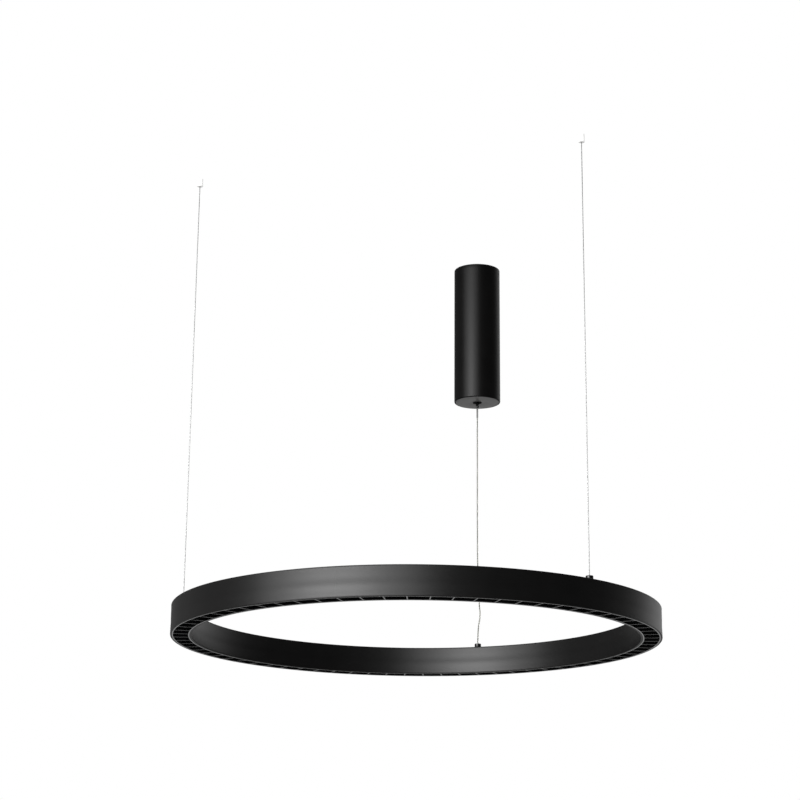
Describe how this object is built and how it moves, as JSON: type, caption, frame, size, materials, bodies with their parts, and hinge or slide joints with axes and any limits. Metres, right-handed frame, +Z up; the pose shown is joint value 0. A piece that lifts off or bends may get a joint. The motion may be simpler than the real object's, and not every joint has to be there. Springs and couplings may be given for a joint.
{
  "type": "led pendant light",
  "caption": "Round ring pendant lamp with a louvred underside, hung level on two steel wires and a power cord from a tall cylindrical canopy.",
  "frame": {"origin": "centre of the canopy bracket's two ceiling screw holes, in the plane of the ceiling", "axes": "+Z up into the ceiling, which the lamp hangs under; the ring's centre lies at -Y; +X towards the right-hand wire"},
  "size_m": [0.6, 0.6195, 0.581],
  "materials": {
    "profile_black": "satin black powder coat on aluminium",
    "disc_black": "satin black powder coat on aluminium",
    "louvre_black": "black moulded grille with bright metallised edges",
    "lens_clear": "clear moulded lens",
    "board_white": "white solder mask on an aluminium board",
    "led_phosphor": "yellow phosphor",
    "fitting_black": "gloss black plating",
    "zinc_steel": "zinc plated sheet steel",
    "screw_steel": "plated steel",
    "wire_steel": "bright stranded steel wire",
    "cord_clear": "clear jacket over twisted tinned strands",
    "anchor_white": "white powder coat, as the ceiling",
    "brass": "turned brass",
    "splice_aluminium": "milled aluminium",
    "driver_plastic": "white polycarbonate",
    "circuit_green": "green solder mask",
    "component_black": "black sleeves and ferrite",
    "terminal_white": "white nylon",
    "lead_insulation": "insulated copper"
  },
  "bodies": {
    "ceiling": {"anchor_bases": "anchor_white", "anchor_caps": "anchor_white", "canopy_base": "disc_black", "canopy_screws": "screw_steel", "canopy_tube": "profile_black", "ceiling_bracket": "zinc_steel", "cord_connector": "terminal_white", "cord_grip_barrel": "fitting_black", "cord_grip_nut": "zinc_steel", "cord_grip_plug": "brass", "cord_grip_spring": "screw_steel", "cradle_screws": "screw_steel", "driver_board": "circuit_green", "driver_capacitors": "component_black", "driver_case": "driver_plastic", "driver_cradle": "zinc_steel", "driver_lid": "driver_plastic", "driver_screws": "screw_steel", "driver_transformer": "component_black", "earth_screw": "screw_steel", "feed_cord": "cord_clear", "feed_cord_inner": "cord_clear", "primary_leads": "lead_insulation", "secondary_leads": "lead_insulation", "terminal_block": "terminal_white", "terminal_screws": "screw_steel", "wire_left": "wire_steel", "wire_right": "wire_steel", "wire_stops": "wire_steel"},
    "ring": {"feed_connector": "terminal_white", "feed_pins": "brass", "feed_tail": "cord_clear", "gripper_barrel_feed": "fitting_black", "gripper_barrel_left": "fitting_black", "gripper_barrel_right": "fitting_black", "gripper_nuts": "zinc_steel", "gripper_plugs": "brass", "gripper_spring_feed": "screw_steel", "gripper_spring_left": "screw_steel", "gripper_spring_right": "screw_steel", "led_boards": "board_white", "led_chips": "led_phosphor", "lens_strips": "lens_clear", "louvre_feed": "louvre_black", "louvre_left": "louvre_black", "louvre_right": "louvre_black", "ring_profile": "profile_black", "splice_block": "splice_aluminium", "splice_screws": "screw_steel", "wire_tail_left": "wire_steel", "wire_tail_right": "wire_steel"},
    "cord_release": {"cord_grip_plunger": "fitting_black", "cord_grip_balls": "screw_steel"},
    "collar_feed": {"gripper_collar_feed": "fitting_black", "gripper_balls_feed": "screw_steel"},
    "collar_left": {"gripper_collar_left": "fitting_black", "gripper_balls_left": "screw_steel"},
    "collar_right": {"gripper_collar_right": "fitting_black", "gripper_balls_right": "screw_steel"}
  },
  "joints": [
    {"name": "ring_height", "type": "slide", "parent": "ceiling", "child": "ring", "axis": [0, 0, 1], "range_m": [-0.45, 0.2], "deforming": ["wire_left", "wire_right", "feed_cord"]},
    {"name": "release_left", "type": "slide", "parent": "ring", "child": "collar_left", "axis": [0, 0, -1], "range_m": [0, 0.0015], "stiffness_N_per_m": 400, "springref_m": -0.003, "deforming": ["gripper_spring_left"]},
    {"name": "release_right", "type": "slide", "parent": "ring", "child": "collar_right", "axis": [0, 0, -1], "range_m": [0, 0.0015], "stiffness_N_per_m": 400, "springref_m": -0.003, "deforming": ["gripper_spring_right"]},
    {"name": "release_feed", "type": "slide", "parent": "ring", "child": "collar_feed", "axis": [0, 0, -1], "range_m": [0, 0.0015], "stiffness_N_per_m": 400, "springref_m": -0.003, "deforming": ["gripper_spring_feed"]},
    {"name": "release_cord", "type": "slide", "parent": "ceiling", "child": "cord_release", "axis": [0, 0, 1], "range_m": [0, 0.002], "stiffness_N_per_m": 500, "springref_m": -0.003, "deforming": ["cord_grip_spring"]}
  ]
}
